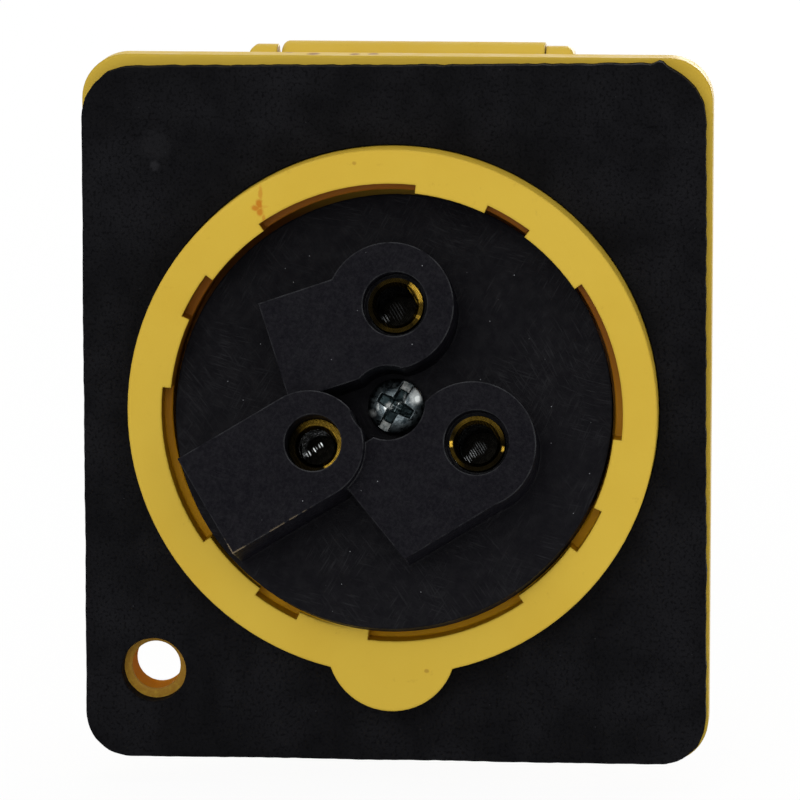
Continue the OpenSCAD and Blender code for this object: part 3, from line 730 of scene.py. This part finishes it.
@dataclass
class PanelGasket:
    """Foam gasket cut by hand, with one punched fixing hole and three marks. Sizes in millimetres."""

    corners: Tuple[Flat, ...] = ((-35.6, 38.55), (35.05, 39.48), (35.6, -40.74), (-35.5, -40.74))
    corner_rs: Tuple[float, ...] = (5.6, 6.6, 5.2, 5.2)
    corner_steps: int = 12
    edge_gap: float = 0.45
    wave: float = 0.10
    wave_pace: float = 0.09
    fray: float = 0.05
    fray_pace: float = 0.9
    ragged: float = 2.6
    ragged_right: float = 30.0
    ragged_top: float = 36.0
    tab: Flat = (29.9, 0.5)
    tab_half: float = 0.8
    thick: float = 2.5
    soft: float = 0.10
    collar_r: float = 30.1
    collar_steps: int = 160
    lobe_r: float = 7.4
    lobe_drop: float = 26.9
    lobe_steps: int = 48
    hole: Flat = (-27.7, -30.65)
    hole_r: float = 3.7
    hole_steps: int = 48
    marks: Tuple[Flat, ...] = ((-27.7, 29.5), (27.7, 29.5), (27.7, -30.5))
    mark_r: float = 3.3
    mark_depth: float = 0.06
    mark_steps: int = 40
    limit: Flat = (35.78, 39.86)

    def outline(self) -> List[Vector]:
        """Outer edge of the sheet as it was cut.

        Returns:
            Points in the plane of the sheet, anticlockwise from its top left corner.
        """
        points: List[Vector] = []
        count = len(self.corners)
        for k in range(count):
            here = Vector(self.corners[-k])
            before = (Vector(self.corners[(1 - k) % count]) - here).normalized()
            after = (Vector(self.corners[(-k - 1) % count]) - here).normalized()
            radius = self.corner_rs[-k]
            middle = here + (before + after) * radius
            for turn in between(0.0, QUARTER_TURN, self.corner_steps):
                points.append(middle - (after * cos(turn) + before * sin(turn)) * radius)
        dense: List[Vector] = []
        for a, b in zip(points, points[1:] + points[:1]):
            steps = max(1, round((b - a).length / self.edge_gap))
            dense.extend(a.lerp(b, step / steps) for step in range(steps))
        return self.hand_cut(dense)

    def hand_cut(self, points: Sequence[Vector]) -> List[Vector]:
        """Let the knife wander along the edge, and leave a torn tab near the top right corner.

        Args:
            points: The ideal edge.

        Returns:
            The wavy edge, kept inside the flange.
        """
        cut: List[Vector] = []
        right, top = self.limit
        for point in points:
            worn = point.x > self.ragged_right or point.y > self.ragged_top
            slow = noise.noise((point.x * self.wave_pace, point.y * self.wave_pace, 3.1))
            fine = noise.noise((point.x * self.fray_pace, point.y * self.fray_pace, 7.7))
            out = self.wave * slow + self.fray * (self.ragged if worn else 1.0) * fine
            moved = point + point.normalized() * out
            if point.y > self.ragged_top:
                moved.y += self.tab[1] * max(0.0, 1 - abs(point.x - self.tab[0]) / self.tab_half)
            cut.append(Vector((max(-right, min(right, moved.x)), min(top, moved.y))))
        return cut

    def opening(self) -> List[Vector]:
        """Edge of the hole for the collar and its keyway lobe.

        Returns:
            Points round the opening.
        """
        reach = self.lobe_drop
        cross = (self.collar_r ** 2 - self.lobe_r ** 2 + reach ** 2) / (2 * reach)
        half = sqrt(max(self.collar_r ** 2 - cross ** 2, 0.0))
        gap = atan2(half, cross)
        lobe = atan2(half, reach - cross)
        collar = between(-QUARTER_TURN + gap, 3 * QUARTER_TURN - gap, self.collar_steps)
        bulge = between(QUARTER_TURN + lobe, 5 * QUARTER_TURN - lobe, self.lobe_steps)[1:-1]
        return self.arc((0.0, 0.0), self.collar_r, collar) + self.arc((0.0, -reach), self.lobe_r, bulge)

    @staticmethod
    def arc(middle: Flat, radius: float, angles: Sequence[float]) -> List[Vector]:
        """Points of a circle at some angles."""
        return [Vector((middle[0] + radius * cos(t), middle[1] + radius * sin(t))) for t in angles]

    @staticmethod
    def ring(mesh: Mesh, points: Sequence[Vector], depth: float) -> Ring:
        """Add a closed ring of points of the sheet's plane at a depth."""
        return [mesh.verts.new(metres((p.x, depth, p.y))) for p in points]

    @staticmethod
    def shifted(points: Sequence[Vector], amount: float) -> List[Vector]:
        """Move a closed run of points along its own normals.

        Args:
            points: The run.
            amount: Distance to its right hand side.

        Returns:
            The moved run.
        """
        moved: List[Vector] = []
        for k, point in enumerate(points):
            run = (points[(k + 1) % len(points)] - points[k - 1]).normalized()
            moved.append(point + Vector((run.y, -run.x)) * amount)
        return moved

    @staticmethod
    def fill(mesh: Mesh, rings: Sequence[Ring]) -> None:
        """Close a flat side between the ring of its outer edge and the rings of its holes."""
        edges = [mesh.edges.get((ring[k - 1], ring[k])) for ring in rings for k in range(len(ring))]
        bmesh.ops.triangle_fill(mesh, use_beauty=True, use_dissolve=False, edges=edges)

    def build(self, material: Material) -> Piece:
        """Make the gasket.

        Args:
            material: Foam finish.

        Returns:
            The piece that stands for the gasket of the solids.
        """
        mesh = bmesh.new()
        punched = self.hand_cut(self.arc(self.hole, self.hole_r, turns(self.hole_steps)))
        rear: List[Ring] = []
        front: List[Ring] = []
        edges = ((self.outline(), -self.soft), (self.opening(), self.soft), (punched, self.soft))
        for points, inward in edges:
            face = self.ring(mesh, self.shifted(points, inward), 0.0)
            shoulder = self.ring(mesh, points, self.soft)
            foot = self.ring(mesh, points, self.thick)
            join_rings(mesh, face, shoulder)
            join_rings(mesh, shoulder, foot)
            rear.append(face)
            front.append(foot)
        around = turns(self.mark_steps)
        for mark in self.marks:
            brim = self.ring(mesh, self.arc(mark, self.mark_r, around), 0.0)
            base = self.ring(mesh, self.arc(mark, self.mark_r - self.soft, around), self.mark_depth)
            join_rings(mesh, brim, base)
            mesh.faces.new(base)
            rear.append(brim)
        self.fill(mesh, rear)
        self.fill(mesh, front)
        piece = new_piece("cut_gasket", mesh, material)
        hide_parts("panel_gasket")
        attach(piece, "socket")
        return piece


@dataclass
class LidSpring:
    """Torsion spring on the hinge pin: a leg under the lid's arm and one on the pedestal. Millimetres."""

    hinge: Triple = (0.0, 25.057, 36.15)
    wire_r: float = 0.35
    coil_r: float = 1.9
    pitch: float = 0.78
    leg: float = 11.0
    leg_steps: int = 10
    foot: float = 9.0
    foot_steps: int = 8
    bend: float = 1.0
    leg_drop: float = 39.337
    sweep: float = 2030.663
    coil_steps: int = 226
    sides: int = 12

    @property
    def half(self) -> float:
        """Half the length of the coil."""
        return self.pitch * self.sweep / 720

    def route(self) -> List[Vector]:
        """Middle of the wire, from the lid's leg to the pedestal's.

        Returns:
            Points in millimetres from the hinge, in the frame of the part.
        """
        drop = radians(self.leg_drop)
        points: List[Vector] = []
        for t in between(self.leg, self.bend, self.leg_steps):
            up = -self.coil_r * cos(drop) - t * sin(drop)
            back = self.coil_r * sin(drop) - t * cos(drop)
            points.append(Vector((-self.half, -back, up)))
        for s in between(0.0, self.sweep, self.coil_steps):
            a = radians(270 - self.leg_drop - s)
            across = -self.half + self.pitch * s / 360
            points.append(Vector((across, self.coil_r * cos(a), self.coil_r * sin(a))))
        for t in between(self.bend, self.foot, self.foot_steps):
            points.append(Vector((self.half, self.coil_r, -t)))
        return points

    def build(self, material: Material) -> Piece:
        """Sweep the wire along its route.

        Args:
            material: Steel finish.

        Returns:
            The piece that stands for the spring of the solids.
        """
        mesh = bmesh.new()
        route = self.route()
        rings: List[Ring] = []
        for k, point in enumerate(route):
            run = (route[min(k + 1, len(route) - 1)] - route[max(k - 1, 0)]).normalized()
            u = run.cross(Vector((1.0, 0.0, 0.0))).normalized()
            v = run.cross(u)
            ring = []
            for turn in turns(self.sides):
                off = (u * cos(turn) + v * sin(turn)) * self.wire_r
                ring.append(mesh.verts.new((Vector(self.hinge) + point + off) * MM))
            rings.append(ring)
        for a, b in zip(rings, rings[1:]):
            join_rings(mesh, a, b, smooth=True)
        mesh.faces.new(rings[0])
        mesh.faces.new(rings[-1])
        piece = new_piece("torsion_spring", mesh, material)
        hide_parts("lid_spring")
        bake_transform(piece)
        return piece


@dataclass
class MachineScrew:
    """A screw with a cut thread and grooves across its head. Millimetres, from the seat of the head."""

    piece: str
    node: str
    seat: Vector
    out: Vector
    right: Vector
    head_r: float
    side: float
    shank_r: float
    length: float
    slot_half: float
    slot_depth: float
    slot_slope: float = 0.10
    crown: float = 0.0
    turn: float = 0.0
    arm_half: float = 0.0
    arm_reach: float = 1.0
    arm_depth: float = 0.0
    arm_rise: float = 0.0
    arm_taper: float = 0.3
    arm_slope: float = 0.2
    end_slope: float = 0.3
    pitch: float = 0.5
    thread: float = 0.2
    cuts: int = 8
    rings: int = 56
    spokes: int = 192
    thread_spokes: int = 48
    groove_low: float = 0.05
    groove_skin: float = 0.06
    sharp: float = 38.0

    def dome(self, r: float) -> float:
        """Height of the uncut head at a radius."""
        return self.side + self.crown * sqrt(max(0.0, 1 - (r / self.head_r) ** 2))

    def grooves(self, x: float, y: float) -> Flat:
        """Depth of the slot and of the cross recess.

        Args:
            x: Place across the head.
            y: Place up the head.

        Returns:
            Both depths, from the top of the head.
        """
        a = radians(self.turn)
        u = abs(x * cos(a) + y * sin(a))
        v = abs(y * cos(a) - x * sin(a))
        slot = self.cut(v, self.slot_half, self.slot_slope) * self.slot_depth
        return slot, max(self.arm(u, v), self.arm(v, u))

    def arm(self, off: float, along: float) -> float:
        """Depth of one arm of the cross recess, which narrows and rises towards its end."""
        floor = self.arm_depth - self.arm_rise * along
        narrow = self.arm_half * (1 - self.arm_taper * along / self.arm_reach)
        end = self.cut(along, self.arm_reach, self.end_slope)
        return self.cut(off, narrow, self.arm_slope) * end * floor

    @staticmethod
    def cut(distance: float, half: float, slope: float) -> float:
        """Depth share of a groove: 1 at its middle and 0 outside."""
        share = min(1.0, max(0.0, (half + slope - distance) / slope))
        return share * share * (3 - 2 * share)

    def height(self, x: float, y: float) -> float:
        """Height of the head with its grooves."""
        return min(self.dome(hypot(x, y)), self.side + self.crown - max(self.grooves(x, y)))

    def crest(self, turn: float, z: float) -> float:
        """Radius of the thread at an angle and a height."""
        wound = (turn / FULL_TURN + z / self.pitch) % 1.0
        point = min(1.0, (z + self.length) / self.pitch)
        return self.shank_r - self.thread * max(abs(2 * wound - 1), 1 - point)

    def point(self, mesh: Mesh, x: float, y: float, z: float) -> bmesh.types.BMVert:
        """Add a point given from the seat of the head."""
        up = self.out.cross(self.right)
        return mesh.verts.new((self.seat + self.right * x + up * y + self.out * z) * MM)

    def head(self, mesh: Mesh) -> Ring:
        """Add the head.

        Args:
            mesh: Mesh in progress.

        Returns:
            The lower rim of the head.
        """
        rows: List[Ring] = []
        for k in range(1, self.rings + 2):
            r = self.head_r * min(1.0, k / self.rings)
            row = []
            for a in turns(self.spokes):
                x, y = r * cos(a), r * sin(a)
                row.append(self.point(mesh, x, y, self.height(x, y) if k <= self.rings else 0.0))
            rows.append(row)
        middle = self.point(mesh, 0.0, 0.0, self.height(0.0, 0.0))
        for k in range(self.spokes):
            mesh.faces.new((middle, rows[0][k - 1], rows[0][k])).smooth = True
        for a, b in zip(rows, rows[1:]):
            join_rings(mesh, a, b, smooth=True)
        return rows[-1]

    def shank(self, mesh: Mesh, rim: Ring) -> None:
        """Add the seat under the head and the thread below it.

        Args:
            mesh: Mesh in progress.
            rim: Lower rim of the head.
        """
        share = self.spokes // self.thread_spokes
        last: Ring = ()
        for z in between(0.0, -self.length, round(self.length / self.pitch * self.cuts)):
            row = []
            for a in turns(self.thread_spokes):
                r = self.crest(a, z)
                row.append(self.point(mesh, r * cos(a), r * sin(a), z))
            if last:
                join_rings(mesh, last, row, smooth=True)
            else:
                for k in range(self.thread_spokes):
                    arc = [rim[(share * (k - 1) + j) % self.spokes] for j in range(share + 1)]
                    mesh.faces.new(arc + [row[k], row[k - 1]])
            last = row
        mesh.faces.new(last)

    def tell_grooves(self, mesh: Mesh) -> None:
        """Give the faces of the slot finish 1 and those of the cross recess finish 2.

        Args:
            mesh: Mesh in progress.
        """
        up = self.out.cross(self.right)
        for face in mesh.faces:
            off = face.calc_center_median() / MM - self.seat
            x, y, z = off.dot(self.right), off.dot(up), off.dot(self.out)
            if self.groove_low < z < self.dome(hypot(x, y)) - self.groove_skin:
                slot, cross = self.grooves(x, y)
                face.material_index = 1 if slot >= cross else 2

    def build(self, finishes: Sequence[Material]) -> Piece:
        """Make the screw.

        Args:
            finishes: Finish of the dome, then those of the slot and of the cross recess where given, which
                are darker copies that paint shade in the grooves.

        Returns:
            The piece that stands for the screw of the solids.
        """
        mesh = bmesh.new()
        rim = self.head(mesh)
        self.tell_grooves(mesh)
        self.shank(mesh, rim)
        piece = new_piece(self.piece, mesh, finishes[0])
        for finish in finishes[1:]:
            piece.data.materials.append(finish)
        piece.data.set_sharp_from_angle(angle=radians(self.sharp))
        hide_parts(self.node)
        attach(piece, "socket")
        return piece


@dataclass(frozen=True)
class Pole:
    """One terminal on the disc and the painted highlights and glints on its brass. Millimetres and degrees.

    A glint is given by its place from the middle of the bore, across and up, its reach and its strength.
    """

    name: str
    angle: float
    tower: float
    tower_len: float
    mouth: float
    bore_r: float
    lip_highlights: Tuple[Sweep, ...]
    glints: Tuple[Tuple[float, float, float, float], ...]
    mark_gap: float = 0.34
    circle: float = 10.5
    turn: float = 1.5
    shift: Flat = (0.85, 0.65)
    floor: float = -3.0
    glint_depth: float = 1.2

    @property
    def place(self) -> Flat:
        """Where the terminal stands on the disc."""
        a = radians(self.angle + self.turn)
        return self.circle * cos(a) + self.shift[0], self.circle * sin(a) + self.shift[1]

    def brass(self) -> Material:
        """Finish of the pole's contact."""
        x, y = self.place
        glints = []
        for across, up, reach, strength in self.glints:
            middle = from_plug(x + across, y + up, self.floor)
            glints.append(Stain(tuple(middle), (reach, self.glint_depth, reach), strength))
        finish = TurnedBrass("brass_" + self.name, self.place, self.bore_r, self.mouth, self.lip_highlights,
                             tuple(glints), self.mark_gap)
        return finish.build()


# Each pole's lip stretches are painted highlights on the lip of its bore, and its glints are painted glints
# on the bore's floor.
LINE = Pole(
    "line", angle=90.0, tower=199.0, tower_len=14.6, mouth=6.8, bore_r=2.25,
    lip_highlights=(Sweep(36, 30, 0.3), Sweep(-10, 38, 0.03), Sweep(-22, 5, 0.2), Sweep(-80, 50, 0.009),
          Sweep(100, 45, 0.007)),
    glints=((-1.9, -0.3, 0.6, 0.10), (-0.6, 0.6, 1.3, 0.012)))
NEUTRAL = Pole(
    "neutral", angle=-30.0, tower=212.0, tower_len=14.6, mouth=6.8, bore_r=2.25,
    lip_highlights=(Sweep(88, 82, 0.045), Sweep(186, 9, 0.6, 2.8), Sweep(-6, 8, 0.45, 2.85),
          Sweep(205, 45, 0.02, 2.75)),
    glints=((-1.8, -0.8, 0.6, 0.2), (-1.1, -0.1, 0.6, 0.13), (-0.4, 0.5, 1.0, 0.05)), mark_gap=0.27)
EARTH = Pole(
    "earth", angle=210.0, tower=211.5, tower_len=14.0, mouth=5.8, bore_r=2.0,
    lip_highlights=(Sweep(55, 98, 0.13), Sweep(-25, 38, 0.22), Sweep(-52, 14, 0.3)),
    glints=((-1.75, 0.1, 0.42, 1.0), (-1.05, 0.6, 0.38, 1.0), (-0.35, 1.1, 0.38, 1.0)))
POLES = (LINE, NEUTRAL, EARTH)


@dataclass
class ScrewSet:
    """The centre screw and the three screws that clamp the wires. Sizes in millimetres."""

    centre: Flat = (0.425, 0.325)
    clamp_rise: float = 3.2
    clamp_recess: float = 1.2
    clamp_head: float = 1.8
    clamp_gap: float = 0.1
    # Height and depth of the painted highlights on the head.
    highlight_rise: float = 1.5
    highlight_depth: float = 4.0

    def centre_screw(self) -> MachineScrew:
        """Pan head with a slot across its cross recess."""
        return MachineScrew(
            "pan_head_screw", "centre_screw", from_plug(*self.centre, 0.0),
            plug_way(0, 0, 1), plug_way(1, 0, 0),
            head_r=3.2, side=1.3, crown=1.0, shank_r=1.5, length=16.0, slot_half=0.58, slot_depth=0.72,
            turn=62.0, arm_half=0.6, arm_reach=1.95, arm_depth=1.75, arm_rise=0.45)

    def clamp_screw(self, pole: Pole) -> MachineScrew:
        """Slotted screw along a tower, backed off from the wire."""
        a = radians(pole.tower)
        x, y = pole.place
        seat = pole.tower_len - self.clamp_recess - self.clamp_head
        return MachineScrew(
            pole.name + "_clamp_screw", pole.name + "_terminal_screw",
            from_plug(x + seat * cos(a), y + seat * sin(a), self.clamp_rise),
            plug_way(cos(a), sin(a), 0), plug_way(0, 0, 1),
            head_r=2.0, side=self.clamp_head, shank_r=1.5, length=seat - pole.bore_r - self.clamp_gap,
            slot_half=0.28, slot_depth=0.9, rings=28, spokes=96)

    def centre_finishes(self) -> Tuple[Material, ...]:
        """Finishes of the centre screw's dome, slot and recess, with painted highlights on the dome and in
        the recess.
        """
        # Places of the painted highlights on the head.
        places = (
            ((2.3, 1.2), (1.1, 1.3), 0.45),
            ((2.45, 0.9), (0.5, 0.7), 0.9),
            ((-2.7, -0.85), (0.7, 0.65), 0.9),
            ((-0.85, -0.06), (0.6, 0.6), 1.0),
            ((0.3, 0.25), (0.5, 0.3), 0.6),
            ((0.95, 0.85), (0.3, 0.7), 0.4),
            ((-2.0, -0.05), (0.25, 0.6), 0.4),
        )
        rubbed_and_lit = []
        for (x, y), (wide, tall), strength in places:
            middle = from_plug(self.centre[0] + x, self.centre[1] + y, self.highlight_rise)
            rubbed_and_lit.append(Stain(tuple(middle), (wide, self.highlight_depth, tall), strength))
        dome = ZincPlate("zinc_dome", rubbed_and_lit=tuple(rubbed_and_lit))
        # The slot and recess finishes are darker copies of the zinc: painted shade in the grooves.
        slot = ZincPlate("zinc_slot_shade", base=(0.055, 0.057, 0.055), spot=(0.016, 0.020, 0.021))
        recess = ZincPlate("zinc_recess_shade", base=(0.055, 0.084, 0.090), rubbed_and_lit=tuple(rubbed_and_lit))
        return dome.build(), slot.build(), recess.build()

    def build(self) -> List[Piece]:
        """Make the four screws."""
        pieces = [self.centre_screw().build(self.centre_finishes())]
        plain = ZincPlate("zinc_clamp", base=(0.30, 0.33, 0.345), spot=(0.10, 0.115, 0.125)).build()
        for pole in POLES:
            pieces.append(self.clamp_screw(pole).build((plain,)))
        return pieces


@dataclass
class SocketDress:
    """Finishes of the solids that keep their own shape."""

    nodes: Dict[str, Piece]
    # Inside of the collar, which gets painted shade and painted light.
    collar: Well = Well((0.0, 0.0), 26.15, (-3.95, -3.5), (8.0, 9.5))
    # Wall of the fixing hole, which gets painted shade.
    fixing: Well = Well((-27.7, -30.5), 2.8, (2.55, 2.9), (7.2, 7.45))
    brown_marks_and_hole_shade: Tuple[Stain, ...] = (
        Stain((-4.2, -4.0, 28.4), (0.35, 0.8, 0.3), 0.4),
        Stain((4.0, -4.0, -29.5), (0.4, 0.8, 0.35), 0.45),
        # Darker patches along the bottom of the hinge barrel.
        Stain((-9.6, 4.5, 39.9), (1.0, 1.8, 0.9), 0.9),
        Stain((-4.9, 4.5, 39.9), (0.8, 1.6, 0.9), 0.85),
        Stain((-2.8, 5.0, 39.9), (0.9, 1.5, 0.9), 0.85),
        Stain((-12.5, 6.0, 39.9), (0.7, 1.0, 0.8), 0.5),
        # Painted shade round the fixing hole.
        Stain((-27.7, 2.5, -30.5), (7.5, 1.6, 7.5), 0.7),
    )
    amber_smudge_and_hole_shade: Tuple[Stain, ...] = (
        Stain((-14.8, -4.0, 24.9), (0.35, 1.0, 1.1), 0.5),
        Stain((-14.95, -4.0, 23.7), (0.55, 1.0, 0.9), 0.8),
        Stain((-15.3, -4.0, 23.25), (0.8, 1.0, 0.5), 0.75),
        Stain((-14.4, -4.0, 23.4), (0.7, 1.0, 0.25), 0.2),
        Stain((-14.85, -4.0, 22.8), (0.55, 1.0, 0.7), 0.75),
        Stain((-14.45, -4.0, 22.1), (0.28, 1.0, 0.6), 0.5),
        # Painted shade round the fixing hole.
        Stain((-27.7, 2.5, -30.5), (7.5, 1.6, 7.5), 0.1),
    )
    tower_chips: Tuple[Stain, ...] = (
        Stain(tuple(from_plug(-16.7, -17.2, 10.0)), (2.6, 2.6, 2.2), 0.9),
        Stain(tuple(from_plug(-11.5, -13.6, 10.0)), (4.5, 2.6, 3.0), 0.6),
    )

    def dress(self, node: str, material: Material) -> None:
        """Give a node its finish.

        Args:
            node: Name of the node.
            material: The finish.
        """
        data = self.nodes[node].data
        if data.materials:
            for k in range(len(data.materials)):
                data.materials[k] = material
        else:
            data.materials.append(material)
        LOG.info("%s wears %s", node, material.name)

    def build(self) -> None:
        """Dress every node that stays."""
        yellow = HousingPlastic(collar=self.collar, fixing=self.fixing, stains=self.brown_marks_and_hole_shade,
                                amber_marks_and_hole_shade=self.amber_smudge_and_hole_shade)
        self.dress("housing", yellow.build())
        self.dress("lid", HousingPlastic(name="yellow_lid").build())
        self.dress("contact_carrier", CarrierPlastic(chips=self.tower_chips).build())
        self.dress("contact_face", CarrierPlastic(name="black_face").build())
        self.dress("lid_seal", SealRubber().build())
        steel = SpringSteel().build()
        self.dress("hinge_pin", steel)
        for pole in POLES:
            self.dress(pole.name + "_contact", pole.brass())
            self.dress(pole.name + "_contact_spring", steel)


@dataclass(frozen=True)
class Lamp:
    """A soft square light that faces the part: its place and side in metres, and its power in watts."""

    name: str
    place: Triple
    power: float
    side: float = 0.8


@dataclass
class Studio:
    """Floor, soft lights and the camera. Lengths in metres."""

    azimuth: float = -4.8
    elevation: float = 8.5
    distance: float = 0.7
    target: Triple = (0.000632, 0.0, 0.000996)
    lens: float = 277.5
    sensor: float = 36.0
    nearest: float = 0.01
    ambient: float = 0.5
    floor_size: float = 6.0
    floor_cells: int = 8
    floor_gap: float = 0.0005
    lamps: Tuple[Lamp, ...] = (
        Lamp("key_softbox", (-0.2, -1.3, 0.45), 6.8),
        Lamp("fill_softbox", (0.8, -0.9, 0.2), 0.9),
        Lamp("top_softbox", (0.0, 0.0, 1.3), 5.4),
        Lamp("front_softbox", (0.4, 1.2, 0.35), 8.0),
    )

    def look(self) -> Vector:
        """Direction that the camera looks in."""
        az, el = radians(self.azimuth), radians(self.elevation)
        return Vector((sin(az) * cos(el), cos(az) * cos(el), -sin(el)))

    @staticmethod
    def hang(name: str, data: bpy.types.ID, place: Vector, way: Vector) -> Piece:
        """Put a camera or a light in the scene.

        Args:
            name: Name of the object.
            data: The camera or the light.
            place: Where it hangs.
            way: Direction that it faces.

        Returns:
            The new object.
        """
        hung = bpy.data.objects.new(name, data)
        hung.location = place
        hung.rotation_euler = way.to_track_quat("-Z", "Y").to_euler()
        bpy.context.scene.collection.objects.link(hung)
        return hung

    def camera(self) -> None:
        """Put the camera at the photograph's viewing angle."""
        data = bpy.data.cameras.new("photo_camera")
        data.lens = self.lens
        data.sensor_width = self.sensor
        data.clip_start = self.nearest
        place = Vector(self.target) - self.look() * self.distance
        bpy.context.scene.camera = self.hang("photo_camera", data, place, self.look())

    def lights(self) -> None:
        """Hang the soft lights."""
        for lamp in self.lamps:
            data = bpy.data.lights.new(lamp.name, "AREA")
            data.size = lamp.side
            data.energy = lamp.power
            self.hang(lamp.name, data, Vector(lamp.place), -Vector(lamp.place))

    def world(self) -> None:
        """Even light on the part, and plain white behind it."""
        world = bpy.data.worlds.new("studio_world")
        bpy.context.scene.world = world
        world.use_nodes = True
        graph = NodeGraph(world.node_tree)
        level = graph.ramp(graph.seen_directly(), 0.0, 1.0, self.ambient, 1.0)
        graph.feed(graph.tree.nodes["Background"], {"Color": WHITE, "Strength": level})

    def floor(self, height: float) -> None:
        """Lay the pale floor under the part.

        Args:
            height: Height of the floor.
        """
        mesh = bmesh.new()
        cells = self.floor_cells
        bmesh.ops.create_grid(mesh, x_segments=cells, y_segments=cells, size=self.floor_size / 2)
        bmesh.ops.translate(mesh, verts=mesh.verts, vec=(0.0, 0.0, height))
        new_piece("studio_floor", mesh, StudioWhite().build())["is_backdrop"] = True

    def build(self, lowest: float) -> None:
        """Set the studio up.

        Args:
            lowest: Height of the lowest point of the part.
        """
        self.camera()
        self.world()
        self.lights()
        self.floor(lowest - self.floor_gap)
        bpy.context.scene.view_settings.view_transform = "Standard"


def main() -> None:
    """Build the part, dress it, and set up the studio."""
    logging.basicConfig(level=logging.INFO, format="%(message)s")
    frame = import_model()
    cad_low, cad_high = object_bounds()
    Studio().build(cad_low.z)
    SocketDress(frame["nodes"]).build()
    gasket = PanelGasket().build(GasketFoam().build())
    spring = LidSpring().build(SpringSteel("spring_wire").build())
    for piece in [gasket, spring] + ScrewSet().build():
        LOG.info("%s has %d faces", piece.name, len(piece.data.polygons))


if __name__ == "__main__":
    main()
